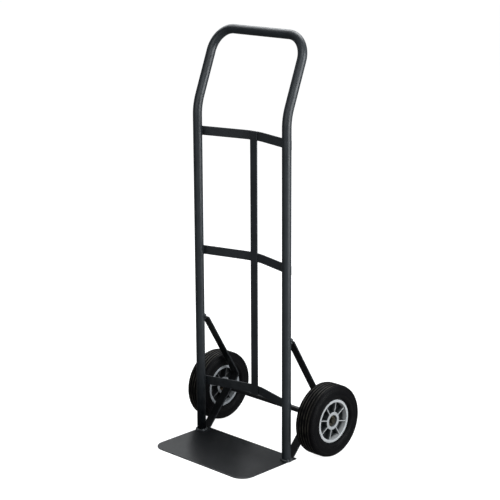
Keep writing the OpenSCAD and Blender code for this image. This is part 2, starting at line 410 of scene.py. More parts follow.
def powder_coat(name, base, worn, roughness, specular, uneven=0.055, foot_dirt_and_shade=0.0):
    """Satin powder coat: orange peel, faint clouds, polished edges and a trace of dust, and
    near the floor painted shade, its paint a little dirty too, as strong as the last argument
    says, heavier on the -X side and dulling the shine."""
    shader = Shader(name, roughness, specular=specular)
    cloud = shader.span(shader.noise(70 * MM, 3), 0.35, 0.65)
    body = shader.mix(cloud, tuple(0.86 * c for c in base), tuple(1.12 * c for c in base))
    grain = shader.span(shader.noise(0.9 * MM, 2), 0.45, 0.75, 0.0, 0.35)
    body = shader.mix(grain, body, tuple(1.5 * c for c in base))
    edge = shader.math("MULTIPLY", shader.attribute("wear_and_painted_light"),
                       shader.span(shader.noise(6 * MM, 4), 0.35, 0.6, 0.25, 1.0))
    body = shader.mix(edge, body, worn)
    dust = shader.math("MULTIPLY", shader.span(shader.upward(), 0.55, 1.0, 0.0, 0.03),
                       shader.span(shader.noise(25 * MM, 5), 0.4, 0.7, 0.35, 1.0))
    body = shader.mix(dust, body, DUST)
    # Painted shade near the floor, where the paint is also a little dirty: darker, less shiny, most at
    # -X.
    if foot_dirt_and_shade:
        spot = shader.add("ShaderNodeSeparateXYZ", Vector=shader.place).outputs
        ragged = shader.math("ADD", spot["Z"], shader.span(
            shader.noise(30 * MM, 4), 0.3, 0.7, -25 * MM, 25 * MM))
        dirt_and_shade_at_floor = shader.span(spot["X"], -RAIL_X, RAIL_X, foot_dirt_and_shade, 0.35 * foot_dirt_and_shade)
        dirt_and_shade = shader.span(ragged, 0.0, DIRT_AND_SHADE_HEIGHT, dirt_and_shade_at_floor, 0.0)
        body = shader.mix(dirt_and_shade, body, FOOT_DIRT_AND_SHADE)
        shine = shader.span(dirt_and_shade, 0.0, 1.0, specular, 0.0)
        shader.feed(shader.bsdf.inputs["Specular IOR Level"], shine)
    shader.colour(body)
    polish = shader.span(shader.noise(38 * MM, 4), 0.3, 0.7, roughness - uneven, roughness + uneven)
    shader.rough(polish)
    shader.bump(shader.noise(1.6 * MM, 2), 0.05 * MM, 0.55)
    shader.bump(shader.noise(0.35 * MM, 1), 0.012 * MM, 0.4)
    return shader.material


def tyre_rubber(name):
    """Moulded black rubber, pale along its tread's lands, worn there and with a painted highlight, and
    a little on its ridges, dusty there and with a painted sheen.
    """
    shader = Shader(name, 0.5, specular=0.07)
    cloud = shader.span(shader.noise(16 * MM, 5), 0.35, 0.7)
    body = shader.mix(cloud, *RUBBER_TONES)
    # Pale lands and ridges: worn, dusty rubber that also carries a painted highlight and sheen.
    worn = shader.math("MULTIPLY", shader.attribute("wear_and_painted_light"),
                       shader.span(shader.noise(24 * MM, 4, 0.6), 0.38, 0.62, 0.15, 1.0))
    body = shader.mix(worn, body, RUBBER_WORN_AND_HIGHLIT)
    specks = shader.span(shader.specks(1.1 * MM), 0.0, 0.35, 0.08, 0.0)
    shader.colour(shader.mix(specks, body, RUBBER_SPECKS))
    shader.rough(shader.span(shader.noise(9 * MM, 4), 0.3, 0.7, 0.42, 0.58))
    shader.bump(shader.noise(1.3 * MM, 4, 0.65), 0.09 * MM, 0.6)
    shader.bump(shader.noise(0.3 * MM, 2), 0.02 * MM, 0.5)
    return shader.material


def hub_plastic(name, wheel_x):
    """Light grey moulding, with painted shade down in its pockets and on the faces turned inwards."""
    shader = Shader(name, 0.42, specular=0.35)
    cloud = shader.span(shader.noise(22 * MM, 4), 0.3, 0.7)
    face = shader.mix(cloud, *HUB_TONES)
    # Painted shade: faces turned in towards the frame go greyer, and deep points go dark.
    along = shader.add("ShaderNodeSeparateXYZ", Vector=shader.place).outputs["X"]
    inner = shader.span(shader.math("ABSOLUTE", along), wheel_x - 2 * MM, wheel_x + 2 * MM, 1.0, 0.0)
    face = shader.mix(inner, face, HUB_INNER_FACE_SHADED)
    pocket_shade = shader.mix(inner, HUB_POCKET_SHADE, HUB_INNER_POCKET_SHADE)
    shade_mottle = shader.span(shader.noise(5 * MM, 5, 0.65), 0.35, 0.75, 0.97, 1.0)
    depth = shader.math("MULTIPLY", shader.span(shader.attribute("wear_and_painted_light"), 0.30, 0.90), shade_mottle)
    body = shader.mix(depth, face, pocket_shade)
    spots = shader.span(shader.specks(4 * MM), 0.0, 0.12, 0.25, 0.0)
    shader.colour(shader.mix(spots, body, HUB_SPOTS))
    shader.rough(shader.span(shader.noise(12 * MM, 4), 0.3, 0.7, 0.36, 0.52))
    shader.bump(shader.noise(0.6 * MM, 3), 0.02 * MM, 0.5)
    shader.bump(shader.noise(9 * MM, 3), 0.06 * MM, 0.35)
    return shader.material


def plated_metal(name, base, stain, roughness):
    """Metal with fine turning marks and uneven brown stain."""
    shader = Shader(name, roughness, metallic=1.0)
    patches = shader.span(shader.noise(3 * MM, 5, 0.6), 0.42, 0.66)
    wear_and_painted_light = shader.math("MAXIMUM", patches, shader.attribute("wear_and_painted_light"))
    body = shader.mix(shader.span(shader.noise(1.2 * MM, 3), 0.3, 0.7), base,
                      tuple(0.8 * c for c in base))
    shader.colour(shader.mix(wear_and_painted_light, body, stain))
    shader.rough(shader.span(shader.noise(1.5 * MM, 4), 0.3, 0.7, roughness - 0.08, roughness + 0.14))
    shader.bump(shader.noise(0.25 * MM, 3, 0.6, stretch=(6, 1, 1)), 0.015 * MM, 0.5)
    return shader.material


def axle_steel(name, paint, bare_from):
    """Painted round bar whose ends, past bare_from along X, are plain greasy steel."""
    shader = Shader(name, 0.4, specular=0.35)
    along = shader.add("ShaderNodeSeparateXYZ", Vector=shader.place).outputs["X"]
    ragged = shader.math("ADD", shader.math("ABSOLUTE", along),
                         shader.span(shader.noise(4 * MM, 3), 0.0, 1.0, -1.5 * MM, 1.5 * MM))
    bare = shader.span(ragged, bare_from, bare_from + 0.6 * MM)
    steel = shader.mix(shader.span(shader.noise(3 * MM, 5, 0.65), 0.4, 0.62), *STEEL_TONES)
    shader.colour(shader.mix(bare, paint, steel))
    shader.feed(shader.bsdf.inputs["Metallic"], shader.math("MULTIPLY", bare, 0.7))
    shader.rough(shader.span(shader.noise(8 * MM, 4), 0.3, 0.7, 0.34, 0.5))
    shader.bump(shader.noise(0.5 * MM, 3, stretch=(0.3, 1, 1)), 0.02 * MM, 0.4)
    return shader.material


PAINT = powder_coat("frame_paint", (0.0150, 0.0190, 0.0230), (0.046, 0.054, 0.062), 0.38, 0.50,
                    foot_dirt_and_shade=0.9)
PLATE_PAINT = powder_coat("plate_paint", (0.0052, 0.0058, 0.0070), (0.026, 0.029, 0.034), 0.30, 0.35,
                          uneven=0.012)
BAR_PAINT = powder_coat("bar_paint", (0.0205, 0.0236, 0.0272), (0.055, 0.062, 0.070), 0.42, 0.45,
                        foot_dirt_and_shade=0.95)
BRACE_PAINT = powder_coat("brace_paint", (0.0045, 0.0050, 0.0056), (0.060, 0.068, 0.078), 0.45, 0.22)
BEAD_PAINT = powder_coat("bead_paint", (0.0100, 0.0120, 0.0140), (0.120, 0.130, 0.140), 0.40, 0.45)
RUBBER = tyre_rubber("tyre_rubber")
HUB_GREY = hub_plastic("hub_grey", JOINTS["wheel_right"].x)
ZINC = plated_metal("yellow_zinc", (0.16, 0.14, 0.105), (0.030, 0.024, 0.016), 0.42)
BRONZE = plated_metal("bronze", (0.17, 0.125, 0.075), (0.05, 0.035, 0.02), 0.42)


# ---- frame tube

TUBE_FACETS = 64


def frame_tube():
    """One tube, bent four times, from the foot of one rail round to the other's."""
    right = [(RAIL_X, 0, PLATE_TOP), (RAIL_X, 0, BEND_Z), (RAIL_X, HANDLE_TOP.y, HANDLE_TOP.z)]
    left = [(-x, y, z) for x, y, z in reversed(right)]
    radii = [LEAN_BEND_R, HANDLE_CORNER_R, HANDLE_CORNER_R, LEAN_BEND_R]
    path = rounded_path(right + left, radii, math.radians(2))
    mesh = Mesh()
    walls = []
    for radius in (TUBE_R, TUBE_R - TUBE_WALL):
        section = circle(radius, TUBE_FACETS)
        walls.append(mesh.skin(swept_rings(path, section, first_normal=X_AXIS)))
    for end in (0, -1):
        mesh.bridge(walls[0][end], walls[1][end])
    mesh.piece("frame_tube_body", "frame", PAINT, ["frame_tube"])


# ---- toe plate


def plate_outline(inset):
    """The plate's outline from above, moved inwards by inset."""
    low, high = PLATE_LOW, PLATE_HIGH
    corner = 1.2 * MM
    corners = (
        (high.x, high.y, corner, 0), (low.x, high.y, corner, 1),
        (low.x, low.y, PLATE_CORNER_R, 2), (high.x, low.y, PLATE_CORNER_R, 3),
    )
    points = []
    for x, y, radius, quarter in corners:
        cx = x - math.copysign(radius, x)
        cy = y - radius if quarter < 2 else y + radius
        steps = 24 if radius > 10 * MM else 4
        reach = max(radius - inset, 0.05 * MM)
        for i in range(steps + 1):
            turn = math.pi / 2 * (quarter + i / steps)
            points.append((cx + reach * math.cos(turn), cy + reach * math.sin(turn)))
    return points


def toe_plate():
    bottom, top, edge = PLATE_LOW.z, PLATE_HIGH.z, 0.8 * MM
    levels = (
        (2.5 * edge, bottom, 0.0), (edge, bottom, 0.1), (0.3 * edge, bottom + 0.3 * edge, 0.6),
        (0, bottom + edge, 0.3), (0, top - edge, 0.3), (0.3 * edge, top - 0.3 * edge, 1.0),
        (edge, top, 0.5), (2.5 * edge, top, 0.0),
    )
    mesh = Mesh()
    rings = [[(x, y, z) for x, y in plate_outline(inset)] for inset, z, _ in levels]
    made = mesh.skin(rings, wear_and_painted_light=[w for _, _, w in levels])
    mesh.close(made)
    mesh.piece("toe_plate_sheet", "frame", PLATE_PAINT, ["toe_plate"])


# ---- crossbars and strap

BAR_Y_AT_RAIL = (TUBE_R + BAR_T / 2) / math.cos(BAR_ANGLE)


def crossbar_path(z, end_x):
    """Midline of a crossbar: straight from each rail, round in the middle."""
    end_y = BAR_Y_AT_RAIL - (end_x - RAIL_X) * math.tan(BAR_ANGLE)
    apex_y = BAR_Y_AT_RAIL + RAIL_X * math.tan(BAR_ANGLE)
    corners = [(-end_x, end_y, z), (0, apex_y, z), (end_x, end_y, z)]
    return rounded_path(corners, [BAR_CROWN_R], math.radians(1))


def crossbars():
    for level in LEVELS:
        low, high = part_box(level + "_crossbar")
        end_x = high.x - BAR_T / 2 * math.sin(BAR_ANGLE)
        path = crossbar_path((low.z + high.z) / 2, end_x)
        mesh = Mesh()
        strip(mesh, path, high.z - low.z, BAR_T, Z_AXIS)
        mesh.piece(level + "_crossbar_bar", "frame", BAR_PAINT, [level + "_crossbar"])


def centre_strap():
    low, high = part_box("centre_strap")
    y = (low.y + high.y) / 2
    steps = 12
    path = [Vector((0, y, low.z + (high.z - low.z) * i / steps)) for i in range(steps + 1)]
    mesh = Mesh()
    strip(mesh, path, high.x - low.x, BAR_T, X_AXIS)
    mesh.piece("centre_strap_bar", "frame", BAR_PAINT, ["centre_strap"])


# ---- axle braces


def brace_corners():
    """Corners of a brace's midline as (y, z): coped end, bend, vertex, foot."""
    top_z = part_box("axle_brace_right")[1].z - BRACE_T / 2
    to_axle = Vector((AXLE_Y - BRACE_FOOT_Y, AXLE_Z - PLATE_TOP))
    leg = math.atan2(to_axle.x, to_axle.y) - math.asin((AXLE_R + BRACE_T / 2) / to_axle.length)
    corner = Vector((TUBE_R + BRACE_REACH, top_z))
    vertex_z = corner.x - BRACE_FOOT_Y + corner.y * math.tan(BRACE_ANGLE)
    vertex_z = (vertex_z + PLATE_TOP * math.tan(leg)) / (math.tan(BRACE_ANGLE) + math.tan(leg))
    vertex = Vector((BRACE_FOOT_Y + (vertex_z - PLATE_TOP) * math.tan(leg), vertex_z))
    start = Vector((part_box("axle_brace_right")[0].y, top_z))
    return start, corner, vertex, Vector((BRACE_FOOT_Y, PLATE_TOP))


def brace_path(x):
    radii = [BRACE_TOP_BEND_R, BRACE_LOW_BEND_R]
    return rounded_path([(x, y, z) for y, z in brace_corners()], radii)


def axle_brace(side):
    """A bent flat bar, coped round the rail at its top and cut flat on the plate."""
    node = "axle_brace_" + side
    low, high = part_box(node)
    rail = SIDES[side] * RAIL_X
    path = brace_path((low.x + high.x) / 2)
    section = rounded_rectangle(high.x - low.x, BRACE_T, BAR_EDGE_R, across_steps=14)
    rings = swept_rings(path, section, width_axis=X_AXIS)
    for point in rings[0]:
        across = min(abs(point.x - rail), TUBE_R)
        point.y = max(math.sqrt(TUBE_R ** 2 - across ** 2), path[0].y)
    way = (path[-1] - path[-2]).normalized()
    for point in rings[-1]:
        point += way * ((PLATE_TOP - point.z) / way.z)
    mesh = Mesh()
    rubbed = corner_wear(section, high.x - low.x, BRACE_T)
    made = mesh.skin(rings, wear_and_painted_light=[rubbed] * len(rings))
    mesh.close(made)
    mesh.piece(node + "_bar", "frame", BRACE_PAINT, [node])


# ---- weld beads


RIPPLE = 1.5 * MM
BEAD_STEP = 0.3 * MM
BEAD_FACETS = 14


def bead(mesh, path, radius, seed, uneven, closed=False):
    """A weld bead with the overlapping ripples that the torch leaves, and thin paint on
    some of them."""
    lengths = [(b - a).length for a, b in zip(path, path[1:])]
    total = sum(lengths)
    count = max(8, round(total / BEAD_STEP))
    fine, travelled, index = [], 0.0, 0
    for i in range(count if closed else count + 1):
        target = total * i / count
        while index < len(lengths) - 1 and travelled + lengths[index] < target:
            travelled += lengths[index]
            index += 1
        share = (target - travelled) / lengths[index]
        fine.append(path[index].lerp(path[index + 1], min(share, 1.0)))
    ways = tangents(fine, closed)
    rings = []
    for i, point in enumerate(fine):
        travel = total * i / count
        phase = (travel / RIPPLE) % 1.0
        swell = 0.90 + 0.16 * (1 - phase) * phase * 4 * (1 - 0.5 * phase)
        swell += uneven * noise.noise(Vector((travel / (3 * MM), seed, 0)))
        if not closed:
            near = min(travel, total - travel) / (1.3 * radius)
            swell *= math.sqrt(max(0.02, 1 - (1 - min(near, 1.0)) ** 2))
        across = ways[i].orthogonal().normalized()
        if i:
            across = rings[-1][1]
            across = (across - ways[i] * across.dot(ways[i])).normalized()
        up = ways[i].cross(across)
        lean = ways[i] * (0.25 * radius)
        ring = []
        for a, b in circle(radius * swell, BEAD_FACETS):
            ring.append(point + across * a + up * b + lean * (a * a / radius ** 2 - 0.5))
        rings.append((ring, across))
    thin = [max(0.0, 2 * noise.noise(p / (2.5 * MM))) for p in fine]
    made = mesh.skin([r for r, _ in rings], loop=closed, wear_and_painted_light=thin)
    if not closed:
        mesh.close(made)


def arc_points(centre, radius, start, end, axis_u, axis_v, count=24):
    turns = [start + (end - start) * i / count for i in range(count + 1)]
    return [centre + axis_u * radius * math.cos(t) + axis_v * radius * math.sin(t) for t in turns]


def wedge_offset(bar_radius, depth):
    """Where a bead sits in the gap between a flat face and the round bar on it:
    how far along the face from the line where they touch."""
    return 2 * math.sqrt(bar_radius * depth)


FOOT_BEAD_R = 4.0 * MM
FOOT_BEAD_RISE = 1.7 * MM
BAR_BEAD_R = 1.9 * MM
CAP_BEAD_R = 4.2 * MM
CAP_BEAD_RISE = 2.4 * MM
UNDER_BEAD_R = 2.5 * MM
UNDER_BEAD_DROP = 0.9 * MM
SADDLE_SPAN = math.radians(75)
HEEL_BEAD_R = 2.2 * MM
AXLE_BEAD_R = 2.0 * MM
STRAP_BEAD_R = 1.5 * MM
EVEN_WELD = 0.10
ROUGH_WELD = 0.16
FOOT_WELD = 0.28
SEED_STEP = 1.7


def foot_ring(side):
    """Round a rail's foot, on the toe plate."""
    foot = Vector((side * RAIL_X, 0, PLATE_TOP + FOOT_BEAD_RISE))
    return arc_points(foot, TUBE_R + 0.7 * MM, 0, 2 * math.pi, X_AXIS, Y_AXIS, 72)


def crossbar_seam(side, level):
    """Up a crossbar's end, in the gap between its flat face and the rail."""
    low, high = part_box(level + "_crossbar")
    out = Vector((side * math.sin(BAR_ANGLE), math.cos(BAR_ANGLE), 0))
    inward = Vector((-side * math.cos(BAR_ANGLE), math.sin(BAR_ANGLE), 0))
    depth = 0.8 * MM
    base = out * (TUBE_R - depth) + inward * wedge_offset(TUBE_R, depth)
    base += X_AXIS * (side * RAIL_X)
    start = base + Z_AXIS * (low.z + 1.5 * MM)
    end = base + Z_AXIS * (high.z - 1.5 * MM)
    return [start, start.lerp(end, 0.5), end]


def saddle_seam(side, rise):
    """Round the back of a rail, at a height above the middle of the brace's coped end."""
    centre = Vector((side * RAIL_X, 0, brace_corners()[0].y + rise))
    return arc_points(centre, TUBE_R + 0.9 * MM, -SADDLE_SPAN, SADDLE_SPAN, Y_AXIS, X_AXIS)


def brace_seam(side, place):
    """Straight across a brace, at a place given as (y, z)."""
    low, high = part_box("axle_brace_right")
    middle = Vector((side * (low.x + high.x) / 2, place.x, place.y))
    reach = X_AXIS * (TUBE_R - 1.5 * MM)
    return [middle - reach, middle, middle + reach]


def axle_seams():
    """Places as (y, z) of the two beads between the axle and the back of a brace."""
    _, _, vertex, foot = brace_corners()
    leg = (vertex - foot).normalized()
    behind = Vector((leg.y, -leg.x))
    depth = 0.9 * MM
    touch = Vector((AXLE_Y, AXLE_Z)) - behind * (AXLE_R - depth)
    return [touch + leg * (way * wedge_offset(AXLE_R, depth)) for way in (1, -1)]


def rail_seams(side):
    """Every open bead on one side of the truck, as (path, radius, unevenness)."""
    seams = [(crossbar_seam(side, level), BAR_BEAD_R, EVEN_WELD) for level in LEVELS]
    cap = saddle_seam(side, BRACE_T / 2 + CAP_BEAD_RISE)
    under = saddle_seam(side, -BRACE_T / 2 - UNDER_BEAD_DROP)
    seams += [(cap, CAP_BEAD_R, ROUGH_WELD), (under, UNDER_BEAD_R, ROUGH_WELD)]
    heel = Vector((BRACE_FOOT_Y + 4.0 * MM, PLATE_TOP + 0.8 * MM))
    seams.append((brace_seam(side, heel), HEEL_BEAD_R, EVEN_WELD))
    seams += [(brace_seam(side, place), AXLE_BEAD_R, EVEN_WELD) for place in axle_seams()]
    return seams


def strap_seams():
    """One bead under each crossbar, behind the strap."""
    strap_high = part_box("centre_strap")[1]
    reach = X_AXIS * (strap_high.x - 3 * MM)
    seams = []
    for level in LEVELS:
        under = Vector((0, strap_high.y + 0.9 * MM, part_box(level + "_crossbar")[0].z - 0.5 * MM))
        seams.append(([under - reach, under, under + reach], STRAP_BEAD_R, EVEN_WELD))
    return seams


def run_seams(mesh, seams, drawn):
    """Makes the open beads, given how many came before, and returns the new number."""
    for path, radius, uneven in seams:
        drawn += 1
        bead(mesh, path, radius, SEED_STEP * drawn, uneven)
    return drawn


def frame_welds():
    beads = Mesh()
    drawn = 0
    for side in SIDES.values():
        bead(beads, foot_ring(side), FOOT_BEAD_R, SEED_STEP * drawn, FOOT_WELD, closed=True)
        drawn = run_seams(beads, rail_seams(side), drawn)
    run_seams(beads, strap_seams(), drawn)
    beads.piece("frame_weld_beads", "frame", BEAD_PAINT)


# ---- wheels

HUB_LOW, HUB_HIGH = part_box("hub_right")
WHEEL_X = JOINTS["wheel_right"].x
RIM_HALF = HUB_HIGH.x - WHEEL_X
RIM_R = (HUB_HIGH.z - HUB_LOW.z) / 2
WHEEL_R = AXLE_Z
TYRE_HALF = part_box("tyre_right")[1].x - WHEEL_X
BOSS_R = 25.3 * MM
BOSS_HALF = RIM_HALF - 3 * MM
RECESS_R = 16.5 * MM
RECESS_FLOOR = 12 * MM
BORE_R = 11 * MM
WEB_HALF = 2.5 * MM
RIM_INNER_R = RIM_R - 7.5 * MM
RIB_COUNT = 8
RIB_TURN = math.radians(14)
WEB_COLUMNS = 5


def wheel_point(side, a, b, out):
    """A point given across the wheel (a, b) and outwards along its axis, in the frame."""
    sign = SIDES[side]
    return Vector((sign * (WHEEL_X + out), AXLE_Y + b, AXLE_Z - sign * a))


def revolve(mesh, side, profile, segments, wear_and_painted_light=None):
    """Turns (radius, out) points about the wheel's axis."""
    rings = []
    for radius, out in profile:
        turns = [2 * math.pi * i / segments for i in range(segments)]
        rings.append([
            wheel_point(side, radius * math.cos(t), radius * math.sin(t), out) for t in turns
        ])
    mesh.skin(rings, loop=True, wear_and_painted_light=wear_and_painted_light)


def hub_radii():
    """The hub's section between its ribs: (radius, out) from the bore to the rim."""
    return [
        (BORE_R, RECESS_FLOOR), (RECESS_R - 0.5 * MM, RECESS_FLOOR),
        (RECESS_R - 0.1 * MM, RECESS_FLOOR + 0.2 * MM), (RECESS_R, RECESS_FLOOR + 0.8 * MM),
        (RECESS_R, BOSS_HALF - 1.0 * MM), (RECESS_R + 0.2 * MM, BOSS_HALF - 0.4 * MM),
        (RECESS_R + 0.7 * MM, BOSS_HALF), (RECESS_R + 1.6 * MM, BOSS_HALF),
        (BOSS_R - 2.0 * MM, BOSS_HALF), (BOSS_R - 1.0 * MM, BOSS_HALF),
        (BOSS_R - 0.3 * MM, BOSS_HALF - 0.4 * MM), (BOSS_R, BOSS_HALF - 1.1 * MM),
        (BOSS_R + 0.35 * MM, WEB_HALF + 3.0 * MM), (BOSS_R + 0.8 * MM, WEB_HALF + 1.2 * MM),
        (BOSS_R + 1.9 * MM, WEB_HALF + 0.3 * MM), (BOSS_R + 3.2 * MM, WEB_HALF),
        (BOSS_R + 7.0 * MM, WEB_HALF), (BOSS_R + 13 * MM, WEB_HALF),
        (RIM_INNER_R - 7.0 * MM, WEB_HALF), (RIM_INNER_R - 3.2 * MM, WEB_HALF),
        (RIM_INNER_R - 1.9 * MM, WEB_HALF + 0.3 * MM), (RIM_INNER_R - 0.8 * MM, WEB_HALF + 1.2 * MM),
        (RIM_INNER_R - 0.35 * MM, WEB_HALF + 3.0 * MM), (RIM_INNER_R, BOSS_HALF - 0.8 * MM),
        (RIM_INNER_R + 0.05 * MM, BOSS_HALF + 0.1 * MM), (RIM_INNER_R + 0.15 * MM, RIM_HALF - 1.0 * MM),
        (RIM_INNER_R + 0.4 * MM, RIM_HALF - 0.35 * MM), (RIM_INNER_R + 1.0 * MM, RIM_HALF),
        (RIM_INNER_R + 2.0 * MM, RIM_HALF), (RIM_R - 3.4 * MM, RIM_HALF),
        (RIM_R - 2.6 * MM, RIM_HALF - 0.05 * MM), (RIM_R - 2.2 * MM, RIM_HALF - 0.5 * MM),
        (RIM_R - 1.7 * MM, RIM_HALF - 0.6 * MM), (RIM_R - 0.6 * MM, RIM_HALF - 0.6 * MM),
        (RIM_R - 0.1 * MM, RIM_HALF - 0.9 * MM), (RIM_R, RIM_HALF - 1.5 * MM),
    ]


# How much painted shade the hub's parts take, from 0 on its open faces to 1 down in its
# pockets. The numbers in braces are for its outer face, 1, and its inner face, -1. The ribs'
# sides darken faster than the walls of the rim, by the factor just below.
FLANK_SHADE = 4.0
RIB_TOP_SHADE = {1: 0.45, -1: 0.70}
BOSS_FACE_SHADE = {1: 0.48, -1: 0.50}
RECESS_WALL_SHADE = 0.74
RECESS_FLOOR_SHADE = 0.95
BOSS_WALL_SHADE = 0.92

# Half of a rib's section in mm: (distance from its middle plane, drop below its top).
RIB_SECTION = (
    (0.0, 0.0), (0.6, 0.0), (0.95, 0.05), (1.2, 0.25), (1.35, 0.6), (1.4, 1.2),
    (1.75, 15.0), (2.1, 17.0), (2.7, 18.0), (3.4, 18.4),
)


def rib_height(distance):
    """How far out a rib's surface is, at a distance from its middle plane."""
    d = distance / MM
    for (d0, drop0), (d1, drop1) in zip(RIB_SECTION, RIB_SECTION[1:]):
        if d <= d1 + 1e-6:
            share = (d - d0) / (d1 - d0)
            return BOSS_HALF - MM * (drop0 + share * (drop1 - drop0))
    return WEB_HALF


def hub_columns(radius):
    """Angles of the grid's columns over one half of a sector, with the rib's distance."""
    columns = [(math.asin(d * MM / radius), d * MM) for d, _ in RIB_SECTION]
    last = columns[-1][0]
    half_sector = math.pi / RIB_COUNT
    for i in range(1, WEB_COLUMNS + 1):
        angle = last + (half_sector - last) * i / WEB_COLUMNS
        columns.append((angle, radius * math.sin(angle)))
    return columns


def hub_ring(side, end, radius, out):
    """One ring of a hub's face, raised where the ribs cross it, and how much painted shade it takes."""
    points, shade_levels = [], []
    rest = -SIDES[side] * RIB_TURN
    on_web = BOSS_R - 0.2 * MM < radius < RIM_INNER_R + 0.02 * MM
    columns = hub_columns(radius)
    sector_columns = [(-a, d) for a, d in reversed(columns[1:-1])] + columns
    for sector in range(RIB_COUNT):
        for angle, distance in sector_columns:
            turn = 2 * math.pi * sector / RIB_COUNT + angle + rest
            height = max(out, rib_height(distance)) if on_web else out
            a, b = radius * math.cos(turn), radius * math.sin(turn)
            points.append(wheel_point(side, a, b, end * height))
            # Painted shade: the lower a point sits below the boss's face, the darker it is painted.
            depth = min(1.0, max(0.0, (BOSS_HALF - height) / (BOSS_HALF - WEB_HALF)))
            if on_web and height > out + 0.1 * MM:
                depth = min(1.0, RIB_TOP_SHADE[end] + FLANK_SHADE * depth)
            elif on_web and radius < BOSS_R + 4 * MM:
                depth = max(depth, BOSS_WALL_SHADE)
            shade_levels.append(depth)
    return points, shade_levels


def hub(side):
    """The wheel's moulding: rim, boss, ribs and web, the same on both faces."""
    mesh = Mesh()
    edges = []
    for end in (1, -1):
        made = []
        for radius, out in hub_radii():
            points, shade_levels = hub_ring(side, end, radius, out)
            # Painted shade on the recess floor, the recess wall and the boss's face.
            if radius < RECESS_R - 0.05 * MM:
                shade_levels = [RECESS_FLOOR_SHADE] * len(shade_levels)
            elif radius < RECESS_R + 0.1 * MM:
                shade_levels = [RECESS_WALL_SHADE] * len(shade_levels)
            elif radius < BOSS_R - 0.2 * MM:
                shade_levels = [BOSS_FACE_SHADE[end]] * len(shade_levels)
            made.append(mesh.ring(points, shade_levels))
        for a, b in zip(made, made[1:]):
            mesh.bridge(a, b)
        edges.append((made[0], made[-1]))
    mesh.bridge(edges[0][0], edges[1][0])
    mesh.bridge(edges[0][1], edges[1][1])
    body = "wheel_" + side
    mesh.piece("hub_casting_" + side, body, HUB_GREY, ["hub_" + side])


GROOVES = (4.75 * MM, 14.25 * MM)
GROOVE_HALF = 1.3 * MM
GROOVE_DEPTH = 2.4 * MM
LANDS = (0.0, 9.5 * MM, 18.4 * MM)
LAND_HALF = 2.3 * MM
SHOULDER_R = 10 * MM
SHOULDER_OUT = 23.2 * MM
SHOULDER_HALF = 2.2 * MM
SHOULDER_DEPTH = 1.8 * MM
RIDGES = (68.5 * MM, 71.5 * MM, 74.5 * MM, 89.5 * MM, 92 * MM)
RIDGE_HALF = 0.8 * MM
RIDGE_DROP = 0.45 * MM
BULGE_R = (74.5 * MM, 89.5 * MM)
BULGE_DROP = 0.9 * MM
TREAD_BAND = 9 * MM
WALL_BAND = 6 * MM
RIDGE_DUST_AND_SHEEN = 0.12
OUTLINE_STEP = 0.45 * MM
TYRE_FACETS = 180


def tyre_profile():
    """Half of the tyre's plain section, from the rim's edge to the middle of the tread,
    as points (radius, out, 0)."""
    wall, crown = TYRE_HALF, WHEEL_R
    corners = [
        (RIM_R, RIM_HALF - 1.5 * MM, 0), (RIM_R + 1.6 * MM, RIM_HALF + 1.2 * MM, 0),
        (RIM_R + 6 * MM, wall, 0), (crown - 0.6 * MM, wall, 0), (crown, 0, 0),
    ]
    radii = [1.2 * MM, 8 * MM, SHOULDER_R]
    return rounded_path(corners, radii, math.radians(5))


def smooth_dip(distance, half, depth):
    """A groove with sloped walls and a flat floor."""
    ramp = 0.35 * half
    share = min(1.0, max(0.0, (half + ramp - abs(distance)) / (2 * ramp)))
    return depth * share * share * (3 - 2 * share)


def fine_outline(outline):
    points = []
    for a, b in zip(outline, outline[1:]):
        count = max(1, math.ceil((b - a).length / OUTLINE_STEP))
        points += [a.lerp(b, i / count) for i in range(count)]
    return points + [outline[-1]]


def tyre(side):
    """The tyre's section with its grooves, ridges and bulging wall, turned round the wheel."""
    half = []
    for point in fine_outline(tyre_profile()):
        radius, out = point.x, point.y
        wear_and_painted_light = dip = drop = 0.0
        if radius > WHEEL_R - TREAD_BAND:
            for groove in GROOVES:
                dip = max(dip, smooth_dip(out - groove, GROOVE_HALF, GROOVE_DEPTH))
            dip = max(dip, smooth_dip(out - SHOULDER_OUT, SHOULDER_HALF, SHOULDER_DEPTH))
            # Lands: worn rubber with a painted highlight; sidewall ridges: dust with a painted sheen.
            wear_and_painted_light = max(max(0.0, 1 - abs(out - land) / LAND_HALF) for land in LANDS)
        if out > TYRE_HALF - WALL_BAND:
            near = min(abs(radius - ridge) for ridge in RIDGES)
            on_ridge = max(0.0, 1 - near / RIDGE_HALF)
            wear_and_painted_light = max(wear_and_painted_light, RIDGE_DUST_AND_SHEEN * on_ridge)
            if near < 3 * RIDGE_HALF:
                drop = RIDGE_DROP * (1 - on_ridge)
            if BULGE_R[0] < radius < BULGE_R[1]:
                across = (2 * radius - sum(BULGE_R)) / (BULGE_R[1] - BULGE_R[0])
                drop = max(drop, BULGE_DROP * across ** 2 * (1 - on_ridge))
        half.append((radius - dip, out - drop, wear_and_painted_light))
    other = [(r, -out, w) for r, out, w in reversed(half[:-1])]
    profile = [(r, out) for r, out, _ in half + other]
    mesh = Mesh()
    revolve(mesh, side, profile, TYRE_FACETS, wear_and_painted_light=[w for _, _, w in half + other])
    mesh.piece("tyre_rubber_" + side, "wheel_" + side, RUBBER, ["tyre_" + side])


# ---- axle and its hardware

FLANGE_R = 15 * MM
FLANGE_T = 1.6 * MM
BUSHING_BORE_R = AXLE_R + 0.05 * MM
WASHER_R = 15.4 * MM
WASHER_T = 1.6 * MM
WASHER_STAIN = 0.15
WASHER_OUT = RECESS_FLOOR + FLANGE_T + 0.3 * MM
PIN_R = 1.5 * MM
PIN_OUT = WASHER_OUT + WASHER_T + PIN_R + 0.2 * MM
PIN_WIRE_R = 1.065 * MM
BARE_FROM = RAIL_X + TUBE_R + 3 * MM
AXLE_END = RIM_HALF
AXLE_FACETS = 56
ROUND_FACETS = 72


